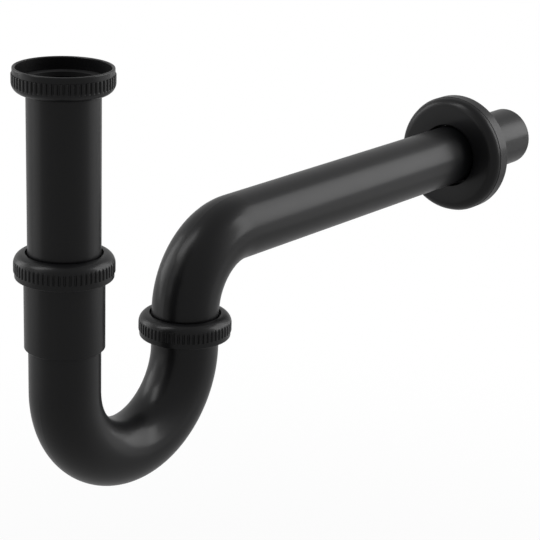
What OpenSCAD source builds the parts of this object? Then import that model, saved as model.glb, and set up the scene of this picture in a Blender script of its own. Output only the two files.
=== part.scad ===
// Tubular P-trap for a basin or sink, 32 mm tube with G 1 1/4 union nuts.
// The origin is on the axis of the inlet tube, in the plane of the top nut's lip.
// +Z points up along the inlet tube and +X along the outlet pipe, towards the wall.

/* [Tube] */
// Outer diameter of the inlet tube, the U-bend and the outlet pipe
tube_d = 32; // [31.6:0.1:32]
// Wall thickness of these tubes
tube_wall = 1.2; // [1:0.1:1.6]

/* [Layout] */
// Distance between the axes of the U-bend's two legs
leg_spacing = 80.5; // [76:0.5:100]
// Depth of the U-bend's centre below the top nut's lip
bend_drop = 146.2; // [144:0.2:170]
// Depth of the slip nut's mouth below the top nut's lip
slip_drop = 92.45; // [80:0.05:95]
// Height of the outlet nut's mouth above the U-bend's centre
outlet_rise = 5; // [4:0.5:20]
// Centreline radius of the outlet pipe's elbow
elbow_r = 34.2; // [32:0.2:50]
// Straight length of the outlet pipe after its elbow
outlet_run = 247.75; // [220:0.25:320]
// Distance from the elbow to the rosette's wall side
rosette_run = 197.5; // [40:0.5:210]
// Length of the sized spigot that goes into the wall
spigot_len = 45; // [30:1:48]
// Diameter of this spigot
spigot_d = 31.8; // [31.4:0.1:31.8]

/* [Union nuts] */
// Height of a nut from its mouth to its shoulder
nut_h = 11.05; // [11:0.05:11.5]
// Diameter over the ribs of the nut's grip band
band_d = 44.15; // [44:0.05:46]
// Diameter of the plain lip round the nut's mouth
lip_d = 43.25; // [43:0.05:43.3]
// Height of the plain lip
lip_h = 2.75; // [2:0.05:3]
// Radius of the nut's shoulder
shoulder_r = 4.75; // [4:0.05:4.8]
// Mean diameter of the G 1 1/4 thread, which the bore stands for
thread_d = 40.6; // [40.4:0.1:40.6]
// Diameter of the hole that the tube passes through
nut_hole_d = 34; // [33.6:0.1:34.2]
// Number of grip grooves round the band
groove_count = 60; // [36:1:64]
// Depth of a grip groove
groove_depth = 0.41; // [0.3:0.01:0.42]
// Width of a grip groove
groove_w = 0.84; // [0.6:0.02:0.9]

/* [Socket] */
// Outer diameter of the socket that takes the inlet tube
socket_d = 35.5; // [35.4:0.1:36]
// Length of the socket below the slip nut's mouth
socket_drop = 32.75; // [30:0.25:36]
// Radial clearance round the sliding inlet tube
slide_gap = 0.1; // [0.05:0.05:0.1]
// Length of the inlet tube held below the slip nut's mouth
tube_insert = 11.5; // [8:0.5:12]

/* [Rosette] */
// Diameter of the wall rosette
rosette_d = 64.1; // [60:0.1:80]
// Depth of the rosette from its face to its wall side
rosette_depth = 11.5; // [11:0.1:16]
// Radius of the rosette's rounded rim
rim_r = 5.15; // [4:0.05:6]
// Diameter of the rosette's hole at its face
rosette_hole_d = 33.8; // [33.4:0.1:34.2]
// Thickness of the pressed sheet
sheet = 1.2; // [0.8:0.1:1.4]

/* [Hidden] */
$fn = 96;
eps = 0.01;

black = "#2b2b2d";
rubber = "#1c1c1d";
nylon = "#232325";

// Radii that the driving diameters give
tube_r = tube_d / 2;
bore_r = tube_r - tube_wall;
band_r = band_d / 2;
lip_r = lip_d / 2;
thread_r = thread_d / 2;
male_r = thread_r - 0.1;
socket_r = socket_d / 2;
bend_r = leg_spacing / 2;
rosette_r = rosette_d / 2;
spigot_r = spigot_d / 2;
spigot_taper = 1;

// Inside a nut, as heights from its mouth: thread, relief, then the web under the shoulder
thread_h = 5.5;
relief_r = thread_r + 0.25;
web_z = nut_h - 2.45;
packing_r = thread_r - 0.3;

// Edge roundings and chamfers
lip_round = 0.5;
chamfer = 0.4;

// Flared flange and flat seal, stacked on the web of a nut
flange_t = 1.2;
seal_t = web_z - flange_t - thread_h;
seal_bore_r = bore_r + 0.4;
ring_t = 1;
ring_bore_r = tube_r + 0.3;

// Slip joint: the socket's head, its conical seat and the wedge seal, from the nut's mouth
head_z = 0.8;
head_top = 6.2;
seat_top_r = 19.2;
seat_low_r = tube_r + 0.3;
seal_low_z = 3.7;
seal_gap = 0.05;
sleeve_overlap = 8;

// Outlet joint, from the nut's mouth
outlet_ring_t = 0.8;
outlet_flange_z = web_z - outlet_ring_t - flange_t;
outlet_seal_t = 1.6;
ferrule_top = outlet_flange_z - outlet_seal_t;

// Places along the two legs
bend_z = -bend_drop;
slip_z = -slip_drop;
socket_low_z = slip_z - socket_drop;
outlet_z = bend_z + outlet_rise;
elbow_z = outlet_z + nut_h + 0.25;
outlet_axis_z = elbow_z + elbow_r;
elbow_end_x = leg_spacing + elbow_r;

// Rosette: a step divides its rounded rim from its side, and its neck closes in on the pipe
rim_step = 0.25;
neck_len = 8;
neck_bead = 1.4;
neck_grip_r = tube_r + slide_gap;

// Plain ring between two radii, from z = 0 up
module ring(outer, inner, h) {
    difference() {
        cylinder(r = outer, h = h);
        translate([0, 0, -1]) cylinder(r = inner, h = h + 2);
    }
}

// Revolved section of a union nut: rounded lip, grip band and quarter-round shoulder
module nut_section() {
    difference() {
        union() {
            square([band_r - shoulder_r, nut_h]);
            translate([0, lip_h]) square([band_r, nut_h - shoulder_r - lip_h]);
            translate([band_r - shoulder_r, nut_h - shoulder_r]) circle(r = shoulder_r);
            translate([0, lip_round]) square([lip_r, lip_h - lip_round + eps]);
            square([lip_r - lip_round, lip_h]);
            translate([lip_r - lip_round, lip_round]) circle(r = lip_round);
        }
        translate([0, -1]) square([thread_r, thread_h + 1 + eps]);
        translate([0, thread_h]) square([relief_r, web_z - thread_h]);
        polygon([[0, -eps], [thread_r + chamfer + eps, -eps], [thread_r, chamfer], [0, chamfer]]);
        square([nut_hole_d / 2, nut_h + 1]);
    }
}

// Union nut with its mouth at z = 0 and its shoulder above; the relief starts past the thread
module union_nut() {
    groove_r = groove_w / 2;
    difference() {
        rotate_extrude() nut_section();
        for (i = [0 : groove_count - 1])
            rotate(i * 360 / groove_count)
                translate([band_r - groove_depth + groove_r, 0, lip_h - 0.2])
                    cylinder(r = groove_r, h = nut_h, $fn = 24);
    }
}

module inlet_nut() {
    color(black) mirror([0, 0, 1]) union_nut();
}

// Flat washer between the waste's end and the inlet tube's flange
module inlet_seal() {
    color(rubber) translate([0, 0, -web_z + flange_t]) ring(packing_r, seal_bore_r, seal_t);
}

// Inlet tube, flared at the top to a flange that the nut's web carries
module inlet_tube() {
    low_z = slip_z - tube_insert;
    color(black) difference() {
        union() {
            translate([0, 0, -web_z]) cylinder(r = packing_r, h = flange_t);
            translate([0, 0, low_z]) cylinder(r = tube_r, h = -web_z - low_z + eps);
        }
        translate([0, 0, low_z - 1]) cylinder(r = bore_r, h = -low_z);
        translate([0, 0, low_z - eps]) cylinder(r1 = bore_r + chamfer, r2 = bore_r, h = chamfer);
    }
}

module slip_nut() {
    color(black) translate([0, 0, slip_z]) union_nut();
}

// Friction ring that lets the slip nut turn without dragging the seal round
module slip_ring() {
    color(nylon) translate([0, 0, slip_z + web_z - ring_t]) ring(packing_r, ring_bore_r, ring_t);
}

// Wedge seal that the slip nut presses into the socket's seat and onto the inlet tube
module slip_seal() {
    inner = tube_r + slide_gap;
    slope = seat_top_r - head_top;
    top = web_z - ring_t;
    color(rubber) translate([0, 0, slip_z]) rotate_extrude()
        polygon([[inner, seal_low_z], [slope + seal_low_z - seal_gap, seal_low_z],
            [seat_top_r - seal_gap, head_top], [seat_top_r - seal_gap, top], [inner, top]]);
}

// Socket for the inlet tube: threaded head with a conical seat, and a sleeve on the U-bend
module socket() {
    seat_low_z = seat_low_r - seat_top_r + head_top;
    low = -socket_drop;
    color(black) translate([0, 0, slip_z]) rotate_extrude()
        polygon([[tube_r, low], [socket_r - chamfer, low], [socket_r, low + chamfer],
            [socket_r, head_z], [male_r - chamfer, head_z], [male_r, head_z + chamfer],
            [male_r, head_top - chamfer], [male_r - chamfer, head_top], [seat_top_r, head_top],
            [seat_low_r, seat_low_z], [seat_low_r, low + sleeve_overlap], [tube_r, low + sleeve_overlap]]);
}

// Half ring of tube that bends in the XZ plane, below z = 0 and between x = 0 and 2 * bend_r
module half_ring(r) {
    translate([bend_r, 0, 0]) rotate([-90, 0, 0]) rotate_extrude(angle = 180)
        translate([bend_r, 0]) circle(r = r);
}

// U-bend drawn from one tube: left leg in the socket, right leg in the ferrule
module bend_body(r, extra) {
    left_top = socket_low_z + sleeve_overlap - bend_z;
    right_top = outlet_rise + ferrule_top;
    cylinder(r = r, h = left_top + extra);
    half_ring(r);
    translate([leg_spacing, 0, 0]) cylinder(r = r, h = right_top + extra);
}

module u_bend() {
    color(black) translate([0, 0, bend_z]) difference() {
        bend_body(tube_r, 0);
        bend_body(bore_r, 1);
    }
}

// Threaded ferrule brazed round the U-bend's right leg
module ferrule() {
    color(black) translate([leg_spacing, 0, outlet_z]) rotate_extrude()
        polygon([[tube_r, head_z], [male_r - chamfer, head_z], [male_r, head_z + chamfer],
            [male_r, ferrule_top - chamfer], [male_r - chamfer, ferrule_top], [tube_r, ferrule_top]]);
}

// Flat washer between the ferrule and the outlet pipe's flange
module outlet_seal() {
    color(rubber) translate([leg_spacing, 0, outlet_z + ferrule_top])
        ring(packing_r, seal_bore_r, outlet_seal_t);
}

// Friction ring between the outlet pipe's flange and the nut's web
module outlet_ring() {
    color(nylon) translate([leg_spacing, 0, outlet_z + web_z - outlet_ring_t])
        ring(packing_r, ring_bore_r, outlet_ring_t);
}

module outlet_nut() {
    color(black) translate([leg_spacing, 0, outlet_z]) union_nut();
}

// Quarter ring that starts upwards at the origin and ends along +X
module quarter_ring(r) {
    translate([elbow_r, 0, 0]) rotate([90, 0, 0]) rotate([0, 0, 90]) rotate_extrude(angle = 90)
        translate([elbow_r, 0]) circle(r = r);
}

// Solid stretch of the outlet pipe up through the nut and round the elbow
module outlet_rise_body(r, extra) {
    start = outlet_z + outlet_flange_z - elbow_z;
    translate([0, 0, start - extra]) cylinder(r = r, h = extra - start);
    quarter_ring(r);
}

// Revolved outline of the straight stretch, with the sized spigot and its chamfered end
module outlet_run_outline() {
    taper_z = outlet_run - spigot_len - spigot_taper;
    polygon([[0, 0], [tube_r, 0], [tube_r, taper_z], [spigot_r, taper_z + spigot_taper],
        [spigot_r, outlet_run - chamfer], [spigot_r - chamfer, outlet_run], [0, outlet_run]]);
}

module outlet_pipe() {
    color(black) translate([leg_spacing, 0, elbow_z]) difference() {
        union() {
            outlet_rise_body(tube_r, 0);
            translate([0, 0, outlet_z + outlet_flange_z - elbow_z]) cylinder(r = packing_r, h = flange_t);
            translate([elbow_r, 0, elbow_r]) rotate([0, 90, 0]) rotate_extrude() outlet_run_outline();
        }
        outlet_rise_body(bore_r, 1);
        translate([elbow_r, 0, elbow_r]) rotate([0, 90, 0]) cylinder(r = bore_r, h = outlet_run + 1);
    }
}

// Revolved section of the rosette: face at y = 0, wall side at y = rosette_depth
module rosette_section() {
    rim_out_r = rosette_r - rim_step;
    difference() {
        union() {
            square([rim_out_r - rim_r, rosette_depth]);
            translate([0, rim_r]) square([rosette_r, rosette_depth - rim_r]);
            translate([rim_out_r - rim_r, rim_r]) circle(r = rim_r);
        }
        translate([0, sheet]) square([rim_out_r - rim_r, rosette_depth]);
        translate([0, rim_r]) square([rosette_r - sheet, rosette_depth]);
        translate([rim_out_r - rim_r, rim_r]) circle(r = rim_r - sheet);
        translate([0, -1]) square([rosette_hole_d / 2, sheet + 2]);
    }
    neck_section();
}

// Neck turned in from the rosette's hole, with a bead that rests on the pipe
module neck_section() {
    hole_r = rosette_hole_d / 2;
    translate([hole_r, 0]) square([sheet, neck_len]);
    translate([neck_grip_r, neck_len - neck_bead]) square([hole_r + sheet - neck_grip_r, neck_bead]);
}

module rosette() {
    color(black) translate([elbow_end_x + rosette_run - rosette_depth, 0, outlet_axis_z])
        rotate([0, 90, 0]) rotate_extrude() rosette_section();
}

inlet_nut();
inlet_seal();
inlet_tube();
slip_nut();
slip_ring();
slip_seal();
socket();
u_bend();
ferrule();
outlet_seal();
outlet_ring();
outlet_nut();
outlet_pipe();
rosette();
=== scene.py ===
import logging
import math
from dataclasses import dataclass, field
from enum import Enum

import bmesh
import bpy
from mathutils import Matrix, Vector


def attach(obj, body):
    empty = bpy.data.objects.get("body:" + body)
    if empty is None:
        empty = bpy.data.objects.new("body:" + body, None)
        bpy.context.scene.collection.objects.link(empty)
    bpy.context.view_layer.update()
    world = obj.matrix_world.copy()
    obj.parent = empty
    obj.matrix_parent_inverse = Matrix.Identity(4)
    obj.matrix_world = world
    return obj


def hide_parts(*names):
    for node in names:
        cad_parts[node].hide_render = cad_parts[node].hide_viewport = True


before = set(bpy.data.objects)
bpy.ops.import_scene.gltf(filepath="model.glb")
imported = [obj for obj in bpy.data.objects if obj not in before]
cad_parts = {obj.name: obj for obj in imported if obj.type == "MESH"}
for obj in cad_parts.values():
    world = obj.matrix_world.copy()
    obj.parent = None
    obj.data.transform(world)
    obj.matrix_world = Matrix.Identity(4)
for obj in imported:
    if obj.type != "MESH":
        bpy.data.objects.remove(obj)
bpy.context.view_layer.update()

log = logging.getLogger("sink_trap")
MM = 0.001


class Slot(Enum):
    """The record's material slots."""

    LACQUER = "black_lacquer"
    RUBBER = "seal_rubber"
    NYLON = "black_nylon"


class Mouth(Enum):
    """The way a union nut's mouth faces, as the sign of Z from its mouth to its shoulder."""

    UP = -1
    DOWN = 1


def linear(hex_colour: str) -> tuple[float, float, float, float]:
    """Turn an sRGB hex colour into Blender's linear colour.

    Args:
        hex_colour: Six hex digits after a hash sign.

    Returns:
        Red, green, blue and an alpha of 1.
    """
    parts = [int(hex_colour[i:i + 2], 16) / 255 for i in (1, 3, 5)]
    low = [p / 12.92 if p <= 0.04045 else ((p + 0.055) / 1.055) ** 2.4 for p in parts]
    return (low[0], low[1], low[2], 1.0)


def add_node(tree: bpy.types.NodeTree, kind: str, settings: dict | None = None,
             inputs: dict | None = None, links: dict | None = None) -> bpy.types.Node:
    """Add one shader node with its settings, input values and incoming links.

    Args:
        tree: The node tree that takes the node.
        kind: The node's Blender type name.
        settings: Attributes set on the node.
        inputs: Values set on its input sockets, by name or number.
        links: Output sockets joined to its input sockets, by name or number.

    Returns:
        The new node.
    """
    node = tree.nodes.new(kind)
    for name, value in (settings or {}).items():
        setattr(node, name, value)
    for name, value in (inputs or {}).items():
        node.inputs[name].default_value = value
    for name, socket in (links or {}).items():
        tree.links.new(socket, node.inputs[name])
    return node


def new_material(name: str) -> tuple[bpy.types.Material, bpy.types.NodeTree]:
    """Make an empty node material.

    Args:
        name: The material's name.

    Returns:
        The material and its node tree.
    """
    material = bpy.data.materials.new(name)
    material.use_nodes = True
    material.node_tree.nodes.clear()
    return material, material.node_tree


def noise(tree: bpy.types.NodeTree, grain_mm: float, detail: float) -> bpy.types.NodeSocket:
    """Add a noise pattern on Object coordinates, with grains of a real size.

    Args:
        tree: The node tree that takes the pattern.
        grain_mm: Size of one grain in millimetres.
        detail: Number of finer layers in the pattern.

    Returns:
        The pattern's value socket.
    """
    place = add_node(tree, "ShaderNodeTexCoord")
    grains = add_node(tree, "ShaderNodeTexNoise", inputs={"Scale": 1 / (grain_mm * MM), "Detail": detail},
                      links={"Vector": place.outputs["Object"]})
    return grains.outputs["Fac"]


@dataclass(frozen=True)
class Finish:
    """A plain non-metal surface with a fine relief and an uneven gloss.

    Its colour runs from dark to light and its roughness from smooth to rough over clouds of
    cloud_mm, and its relief has grains of grain_mm, depth_mm deep. A film is a thin clear layer of
    resin over it, given as the share of the surface that has one.
    """

    name: str
    slot: Slot
    dark: str
    light: str
    smooth: float
    rough: float
    cloud_mm: float
    grain_mm: float
    depth_mm: float
    relief: float
    index: float = 1.5
    specular: float = 0.5
    film: float = 0.0
    film_roughness: float = 0.22

    def build(self) -> bpy.types.Material:
        """Make the material.

        Returns:
            The finished material.
        """
        material, tree = new_material(self.name)
        cloud = noise(tree, self.cloud_mm, 3.0)
        tint = add_node(tree, "ShaderNodeMix", {"data_type": "RGBA"}, links={"Factor": cloud})
        tint.inputs[6].default_value = linear(self.dark)
        tint.inputs[7].default_value = linear(self.light)
        gloss = add_node(tree, "ShaderNodeMapRange", inputs={"To Min": self.smooth, "To Max": self.rough},
                         links={"Value": cloud})
        bump = add_node(tree, "ShaderNodeBump",
                        inputs={"Strength": self.relief, "Distance": self.depth_mm * MM},
                        links={"Height": noise(tree, self.grain_mm, 2.0)})
        shader = add_node(tree, "ShaderNodeBsdfPrincipled",
                          inputs={"IOR": self.index, "Specular IOR Level": self.specular,
                                  "Coat Weight": self.film, "Coat Roughness": self.film_roughness},
                          links={"Base Color": tint.outputs[2], "Roughness": gloss.outputs["Result"],
                                 "Normal": bump.outputs["Normal"], "Coat Normal": bump.outputs["Normal"]})
        add_node(tree, "ShaderNodeOutputMaterial", links={"Surface": shader.outputs["BSDF"]})
        return material


# Black stoving lacquer, sprayed on brass and baked. Its matting grains spread the light into a faint
# grey haze, and the little clear resin over them leaves a narrower satin streak in the haze. It
# flows out to a faint orange peel of about 1.6 mm, and is duller where it lies thin. The specular
# level and the film are weaker than the real ones, because here the lacquer mirrors a white
# background from every side, and at their full strength its black would turn grey.
SATIN_LACQUER = Finish("satin_stoving_lacquer", Slot.LACQUER, "#060607", "#0a0a0b", 0.42, 0.50,
                       cloud_mm=14, grain_mm=1.6, depth_mm=0.02, relief=0.12, specular=0.08, film=0.14)

# EPDM rubber, moulded in a blasted tool. It is a dead matt black with no streak in it. The tool's
# grit is about 0.1 mm, too fine to show here, so it is drawn at 0.4 mm.
MOULDED_RUBBER = Finish("blasted_moulded_rubber", Slot.RUBBER, "#070708", "#0b0b0c", 0.62, 0.72,
                        cloud_mm=6, grain_mm=0.4, depth_mm=0.03, relief=0.3, specular=0.2)

# Nylon 6, moulded and dyed black. It is smooth and slightly waxy, with a low gloss of its own. Its
# flow marks are long and weak, drawn as 3 mm clouds over a relief of 0.8 mm.
MOULDED_NYLON = Finish("moulded_dyed_nylon", Slot.NYLON, "#111113", "#161618", 0.36, 0.44,
                       cloud_mm=3, grain_mm=0.8, depth_mm=0.01, relief=0.15, index=1.53)


SectionPoint = tuple[float, float, bool]


def arc(r: float, z: float, radius: float, start: float, end: float, steps: int) -> list[SectionPoint]:
    """Lay points along an arc of a turned section.

    Args:
        r: The arc's centre, from the section's axis.
        z: The arc's centre, along the axis.
        radius: The arc's radius.
        start: Angle of the first point in degrees.
        end: Angle of the last point in degrees.
        steps: Number of steps along the arc.

    Returns:
        The points as radius, height and False, because the surface breaks at none of them.
    """
    turns = [math.radians(start + (end - start) * i / steps) for i in range(steps + 1)]
    return [(r + radius * math.cos(t), z + radius * math.sin(t), False) for t in turns]


def spin_section(bm: bmesh.types.BMesh, section: list[SectionPoint], angle: float, steps: int) -> None:
    """Spin a closed section about Z, with the points where its surface breaks numbered as corners.

    Args:
        bm: The mesh that takes the spun faces.
        section: The points as radius, height, and whether the surface breaks there.
        angle: The angle of the spin in radians.
        steps: Number of steps in the spin.
    """
    corner = bm.verts.layers.int.new("corner")
    chain = []
    for number, (r, z, breaks) in enumerate(section, start=1):
        chain.append(bm.verts.new((r, 0, z)))
        chain[-1][corner] = number if breaks else 0
    edges = [bm.edges.new((chain[i - 1], chain[i])) for i in range(len(chain))]
    bmesh.ops.spin(bm, geom=chain + edges, cent=(0, 0, 0), axis=(0, 0, 1), angle=angle, steps=steps)


def finish_piece(bm: bmesh.types.BMesh, node: str, suffix: str, place: Matrix,
                 material: bpy.types.Material) -> bpy.types.Object:
    """Merge a spun mesh, put it in place and make it stand for its CAD node.

    Args:
        bm: The mesh in millimetres about Z, which is freed.
        node: The CAD node, whose body has the same name.
        suffix: The end of the piece's name.
        place: The matrix that takes the mesh to its place in metres.
        material: The finish as built.

    Returns:
        The piece.
    """
    bmesh.ops.remove_doubles(bm, verts=bm.verts[:], dist=0.002)
    bmesh.ops.transform(bm, matrix=place, verts=bm.verts[:])
    bmesh.ops.recalc_face_normals(bm, faces=bm.faces[:])
    corner = bm.verts.layers.int["corner"]
    for face in bm.faces:
        face.smooth = True
    for edge in bm.edges:
        first, second = edge.verts
        edge.smooth = not (first[corner] and first[corner] == second[corner])
    name = node + suffix
    mesh = bpy.data.meshes.new(name)
    bm.to_mesh(mesh)
    bm.free()
    mesh.materials.append(material)
    piece = bpy.data.objects.new(name, mesh)
    bpy.context.scene.collection.objects.link(piece)
    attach(piece, node)
    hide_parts(node)
    log.info("%s: %d faces in place of %s", name, len(mesh.polygons), node)
    return piece


@dataclass
class SubAssembly:
    """A group of the trap's pieces, with the finish of each CAD node."""

    finishes: dict[str, Finish] = field(default_factory=dict)

    def dress(self, materials: dict[Finish, bpy.types.Material]) -> None:
        """Put each CAD node's finish in its material slot.

        Args:
            materials: The built material of each finish.
        """
        for name, finish in self.finishes.items():
            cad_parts[name].data.materials[0] = materials[finish]
            log.info("%s: %s on the CAD node", name, finish.name)
        for piece in self.turned():
            piece.build(materials[piece.finish])

    def turned(self) -> list["UnionNut | Rosette"]:
        """Return the pieces that are turned anew here."""
        return []


@dataclass
class UnionNut:
    """A G 1 1/4 union nut with soft-edged grip ribs, in millimetres, turned about its own axis."""

    node: str
    mouth: Mouth
    axis_x: float
    mouth_z: float
    height: float = 11.05
    lip_r: float = 21.625
    lip_h: float = 2.75
    lip_round: float = 0.5
    band_r: float = 22.07
    edge_round: float = 0.15
    shoulder_r: float = 4.75
    thread_r: float = 20.3
    thread_h: float = 5.5
    chamfer: float = 0.4
    relief_r: float = 20.55
    web_t: float = 2.45
    hole_r: float = 17.0
    ribs: int = 60
    groove_w: float = 0.92
    groove_depth: float = 0.64
    groove_end: float = 7.9
    groove_run_out: float = 0.6
    groove_wall: float = 0.1
    steps: int = 16
    finish: Finish = SATIN_LACQUER

    def section(self) -> list[SectionPoint]:
        """Lay out the nut's closed section, from its bore round the outside and back.

        Returns:
            The points as radius, height from the mouth, and whether the surface breaks there.
        """
        lip, edge, bend = self.lip_round, self.edge_round, self.shoulder_r
        web_z = self.height - self.web_t
        return [
            (self.thread_r, self.thread_h, True),
            (self.thread_r, self.chamfer, True),
            (self.thread_r + self.chamfer, 0, True),
            *arc(self.lip_r - lip, lip, lip, -90, 0, 5),
            (self.lip_r, self.lip_h, True),
            *arc(self.band_r - edge, self.lip_h + edge, edge, -90, 0, 3),
            (self.band_r, self.lip_h + 2 * edge, False),
            (self.band_r, (self.lip_h + self.height - bend) / 2, False),
            *arc(self.band_r - bend, self.height - bend, bend, 0, 90, 18),
            (self.hole_r, self.height, True),
            (self.hole_r, web_z, True),
            (self.relief_r, web_z, True),
            (self.relief_r, self.thread_h, True),
        ]

    def groove_floor(self, across: float, z: float) -> float:
        """Find how far out the metal may reach at a place in or beside a groove.

        Args:
            across: Distance from the groove's middle along the band.
            z: Height from the nut's mouth.

        Returns:
            The largest radius there.
        """
        half = self.groove_w / 2
        wall = 1 / (1 + math.exp((abs(across) - half) / (self.groove_wall * half)))
        left = max(0.0, min(1.0, (self.groove_end - z) / self.groove_run_out))
        return self.band_r - self.groove_depth * wall * left

    def build(self, material: bpy.types.Material) -> bpy.types.Object:
        """Spin one rib's share of the section, press its groove in and repeat it round the nut.

        Args:
            material: The nut's finish as built.

        Returns:
            The nut, which stands for its CAD node.
        """
        pitch = math.tau / self.ribs
        bm = bmesh.new()
        spin_section(bm, self.section(), pitch, self.steps)
        for vert in bm.verts:
            radius = math.hypot(vert.co.x, vert.co.y)
            if vert.co.z > self.lip_h - self.edge_round and radius > self.lip_r + self.edge_round:
                across = (math.atan2(vert.co.y, vert.co.x) - pitch / 2) * self.band_r
                share = min(1.0, self.groove_floor(across, vert.co.z) / radius)
                vert.co.x, vert.co.y = vert.co.x * share, vert.co.y * share
        bmesh.ops.spin(bm, geom=bm.verts[:] + bm.edges[:] + bm.faces[:], cent=(0, 0, 0), axis=(0, 0, 1),
                       angle=math.tau - pitch, steps=self.ribs - 1, use_duplicate=True)
        place = Matrix.Translation((self.axis_x * MM, 0, self.mouth_z * MM))
        place = place @ Matrix.Diagonal((MM, MM, MM * self.mouth.value, 1))
        return finish_piece(bm, self.node, "_ribbed", place, material)


@dataclass
class Rosette:
    """The wall rosette, pressed from sheet with soft bends, in millimetres, turned about the pipe."""

    face_x: float = 300.7
    axis_z: float = -95.7
    radius: float = 32.05
    depth: float = 11.5
    sheet: float = 1.2
    rim_r: float = 5.15
    rim_step: float = 0.25
    hole_r: float = 16.9
    hole_bend: float = 0.7
    neck_len: float = 8.0
    bead: float = 1.4
    bead_r: float = 16.01
    steps: int = 192
    finish: Finish = SATIN_LACQUER

    def section(self) -> list[SectionPoint]:
        """Lay out the closed section, from the hole over the face and rim to the wall and back.

        Returns:
            The points as radius, depth behind the face, and whether the surface breaks there.
        """
        rim, outer = self.rim_r, self.radius - self.rim_step
        inner, wall = self.hole_r + self.hole_bend, self.radius - self.sheet
        return [
            *arc(inner, self.hole_bend, self.hole_bend, 180, 270, 6),
            *arc(outer - rim, rim, rim, -90, 0, 24),
            (self.radius, rim, True),
            (self.radius, self.depth, True),
            (wall, self.depth, True),
            (wall, rim, True),
            *arc(outer - rim, rim, rim - self.sheet, 0, -90, 12),
            (self.hole_r + self.sheet, self.sheet, True),
            (self.hole_r + self.sheet, self.neck_len, True),
            (self.bead_r, self.neck_len, True),
            (self.bead_r, self.neck_len - self.bead, True),
            (self.hole_r, self.neck_len - self.bead, True),
        ]

    def build(self, material: bpy.types.Material) -> bpy.types.Object:
        """Spin the section all the way round and turn its axis along the pipe.

        Args:
            material: The rosette's finish as built.

        Returns:
            The rosette, which stands for its CAD node.
        """
        bm = bmesh.new()
        spin_section(bm, self.section(), math.tau, self.steps)
        place = Matrix.Translation((self.face_x * MM, 0, self.axis_z * MM))
        place = place @ Matrix.Rotation(math.pi / 2, 4, "Y") @ Matrix.Diagonal((MM, MM, MM, 1))
        return finish_piece(bm, "rosette", "_pressed", place, material)


@dataclass
class InletJoint(SubAssembly):
    """The straight inlet tube, its washer and the top nut, mouth up to the waste."""

    nut: UnionNut = field(default_factory=lambda: UnionNut("inlet_nut", Mouth.UP, 0, 0))
    finishes: dict[str, Finish] = field(default_factory=lambda: {
        "inlet_nut": SATIN_LACQUER, "inlet_seal": MOULDED_RUBBER, "inlet_tube": SATIN_LACQUER})

    def turned(self) -> list["UnionNut | Rosette"]:
        """Return the pieces that are turned anew here."""
        return [self.nut]


@dataclass
class SlipJoint(SubAssembly):
    """The nut, friction ring and wedge seal that hold the socket on the inlet tube."""

    nut: UnionNut = field(default_factory=lambda: UnionNut("slip_nut", Mouth.DOWN, 0, -92.45))
    finishes: dict[str, Finish] = field(default_factory=lambda: {
        "slip_nut": SATIN_LACQUER, "slip_ring": MOULDED_NYLON, "slip_seal": MOULDED_RUBBER})

    def turned(self) -> list["UnionNut | Rosette"]:
        """Return the pieces that are turned anew here."""
        return [self.nut]


@dataclass
class Bend(SubAssembly):
    """The U-bend with its brazed socket and ferrule, and the washer that lies on the ferrule."""

    finishes: dict[str, Finish] = field(default_factory=lambda: {
        "socket": SATIN_LACQUER, "u_bend": SATIN_LACQUER, "ferrule": SATIN_LACQUER,
        "outlet_seal": MOULDED_RUBBER})


@dataclass
class OutletJoint(SubAssembly):
    """The nut and friction ring that hold the outlet pipe on the ferrule."""

    nut: UnionNut = field(default_factory=lambda: UnionNut("outlet_nut", Mouth.DOWN, 80.5, -141.2))
    finishes: dict[str, Finish] = field(default_factory=lambda: {
        "outlet_nut": SATIN_LACQUER, "outlet_ring": MOULDED_NYLON})

    def turned(self) -> list["UnionNut | Rosette"]:
        """Return the pieces that are turned anew here."""
        return [self.nut]


@dataclass
class WallOutlet(SubAssembly):
    """The bent outlet pipe and the rosette that slides on it to the wall."""

    rosette: Rosette = field(default_factory=Rosette)
    finishes: dict[str, Finish] = field(default_factory=lambda: {
        "outlet_pipe": SATIN_LACQUER, "rosette": SATIN_LACQUER})

    def turned(self) -> list["UnionNut | Rosette"]:
        """Return the pieces that are turned anew here."""
        return [self.rosette]


@dataclass(frozen=True)
class PhotoCamera:
    """The photograph's camera, in millimetres and radians in the CAD frame."""

    focal_px: float = 1834.927
    image_px: float = 540.0
    sensor_mm: float = 36.0
    yaw: float = 0.90771
    pitch: float = 0.325218
    roll: float = -0.033447
    shift_mm: tuple[float, float, float] = (-86.1129, -84.876, 765.4723)

    def build(self) -> bpy.types.Object:
        """Place the camera and make it the scene's own.

        Returns:
            The camera object.
        """
        forward_flat = Vector((math.sin(self.yaw), math.cos(self.yaw), 0))
        side = Vector((math.cos(self.yaw), -math.sin(self.yaw), 0))
        forward = forward_flat * math.cos(self.pitch) - Vector((0, 0, 1)) * math.sin(self.pitch)
        down = forward.cross(side)
        right = side * math.cos(self.roll) + down * math.sin(self.roll)
        low = down * math.cos(self.roll) - side * math.sin(self.roll)
        rows = Matrix((right, low, forward))
        place = -(rows.transposed() @ Vector(self.shift_mm)) * MM
        data = bpy.data.cameras.new("photo_camera")
        data.sensor_fit = "HORIZONTAL"
        data.sensor_width = self.sensor_mm
        data.lens = self.focal_px * self.sensor_mm / self.image_px
        data.clip_start, data.clip_end = 0.01, 50
        camera = bpy.data.objects.new("photo_camera", data)
        turn = Matrix((right, -low, -forward)).transposed().to_4x4()
        camera.matrix_world = Matrix.Translation(place) @ turn
        bpy.context.scene.collection.objects.link(camera)
        bpy.context.scene.camera = camera
        return camera


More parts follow.
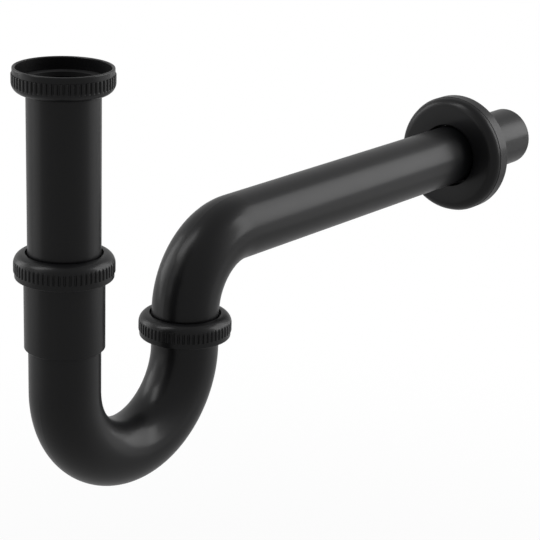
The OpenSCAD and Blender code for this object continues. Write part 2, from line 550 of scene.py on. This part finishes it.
@dataclass(frozen=True)
class Softbox:
    """One rectangular studio light, placed by its bearing from the object in degrees and metres."""

    name: str
    azimuth: float
    elevation: float
    size: tuple[float, float]
    radiance: float
    distance: float = 1.6
    target: tuple[float, float, float] = (0.15, 0.0, -0.1)

    def build(self) -> bpy.types.Object:
        """Place the light, turned to its target.

        Returns:
            The light object.
        """
        turn, lift = math.radians(self.azimuth), math.radians(self.elevation)
        bearing = Vector((math.cos(lift) * math.cos(turn), math.cos(lift) * math.sin(turn), math.sin(lift)))
        data = bpy.data.lights.new(self.name, "AREA")
        data.shape = "RECTANGLE"
        data.size, data.size_y = self.size
        data.energy = self.radiance * math.pi * self.size[0] * self.size[1]
        light = bpy.data.objects.new(self.name, data)
        place = Vector(self.target) + bearing * self.distance
        aim = (-bearing).to_track_quat("-Z", "Y").to_matrix().to_4x4()
        light.matrix_world = Matrix.Translation(place) @ aim
        bpy.context.scene.collection.objects.link(light)
        return light


@dataclass
class Studio:
    """Pale floor, plain world and soft lights, in metres."""

    floor_z: float = -0.42
    floor_radius: float = 0.8
    floor_grey: float = 0.45
    shadow_depth: float = 0.93
    world_grey: float = 0.035
    centre: tuple[float, float] = (0.15, 0.0)
    lights: tuple[Softbox, ...] = (
        Softbox("left_key", 159, 27, (0.50, 1.40), 1.45),
        Softbox("left_top", 143, 52, (0.40, 0.90), 9.50),
        Softbox("left_low", 135, -10, (0.90, 0.50), 1.20),
        Softbox("left_edge", 118, 10, (0.30, 1.00), 3.60),
        Softbox("back_strip", 104, 18, (0.45, 1.00), 6.00),
        Softbox("wall_side", 354, 0, (0.34, 0.65), 2.50),
        Softbox("right_wide", 331, 24, (0.80, 1.30), 5.60),
        Softbox("right_low", 320, -14, (1.00, 0.50), 0.95),
        Softbox("right_strip", 308, 24, (0.32, 1.30), 11.20),
    )

    def build(self) -> None:
        """Make the floor, the world and the lights."""
        bpy.context.scene.view_settings.view_transform = "Standard"
        self.build_floor()
        self.build_world()
        for light in self.lights:
            light.build()

    def white_share(self, tree: bpy.types.NodeTree) -> bpy.types.NodeSocket:
        """Find whether a ray sees the white background: the camera's, a reflection's or a clear thing's.

        Args:
            tree: The node tree that asks.

        Returns:
            1 where the ray sees it, 0 for light on the object.
        """
        path = add_node(tree, "ShaderNodeLightPath")
        seen = add_node(tree, "ShaderNodeMath", {"operation": "MAXIMUM"},
                        links={0: path.outputs["Is Camera Ray"], 1: path.outputs["Is Glossy Ray"]})
        share = add_node(tree, "ShaderNodeMath", {"operation": "MAXIMUM"},
                         links={0: seen.outputs[0], 1: path.outputs["Is Transmission Ray"]})
        return share.outputs[0]

    def build_floor(self) -> None:
        """Make the round pale floor, which keeps its shadow and turns to plain white at its rim."""
        material, tree = new_material("pale_floor")
        place = add_node(tree, "ShaderNodeTexCoord")
        away = add_node(tree, "ShaderNodeVectorMath", {"operation": "DISTANCE"},
                        {1: (*self.centre, self.floor_z)}, {0: place.outputs["Object"]})
        fade = add_node(tree, "ShaderNodeMapRange", {"interpolation_type": "SMOOTHSTEP"},
                        {"From Min": 0.15, "From Max": self.floor_radius - 0.1,
                         "To Min": self.shadow_depth, "To Max": 1.0}, {"Value": away.outputs["Value"]})
        matt = add_node(tree, "ShaderNodeBsdfDiffuse", inputs={"Color": (*[self.floor_grey] * 3, 1)})
        white = add_node(tree, "ShaderNodeEmission", inputs={"Color": (1, 1, 1, 1), "Strength": 1.0})
        part = add_node(tree, "ShaderNodeMath", {"operation": "MULTIPLY"},
                        links={0: self.white_share(tree), 1: fade.outputs["Result"]})
        mix = add_node(tree, "ShaderNodeMixShader",
                       links={0: part.outputs[0], 1: matt.outputs[0], 2: white.outputs[0]})
        add_node(tree, "ShaderNodeOutputMaterial", links={"Surface": mix.outputs[0]})
        mesh = bpy.data.meshes.new("floor")
        bm = bmesh.new()
        bmesh.ops.create_circle(bm, cap_ends=True, radius=self.floor_radius, segments=96,
                                matrix=Matrix.Translation((*self.centre, self.floor_z)))
        bm.to_mesh(mesh)
        bm.free()
        mesh.materials.append(material)
        floor = bpy.data.objects.new("floor", mesh)
        bpy.context.scene.collection.objects.link(floor)

    def build_world(self) -> None:
        """Make the world: white to the camera and in reflections, plain grey as light."""
        world = bpy.data.worlds.new("studio")
        bpy.context.scene.world = world
        world.use_nodes = True
        tree = world.node_tree
        tree.nodes.clear()
        strength = add_node(tree, "ShaderNodeMapRange", inputs={"To Min": self.world_grey, "To Max": 1.0},
                            links={"Value": self.white_share(tree)})
        back = add_node(tree, "ShaderNodeBackground", inputs={"Color": (1, 1, 1, 1)},
                        links={"Strength": strength.outputs["Result"]})
        add_node(tree, "ShaderNodeOutputWorld", links={"Surface": back.outputs[0]})


def main() -> None:
    """Build the finishes, dress the sub-assemblies from the top down and set the studio."""
    logging.basicConfig(level=logging.INFO, format="%(name)s: %(message)s")
    materials = {finish: finish.build() for finish in (SATIN_LACQUER, MOULDED_RUBBER, MOULDED_NYLON)}
    for group in (InletJoint(), SlipJoint(), Bend(), OutletJoint(), WallOutlet()):
        group.dress(materials)
    PhotoCamera().build()
    Studio().build()


if __name__ == "__main__":
    main()
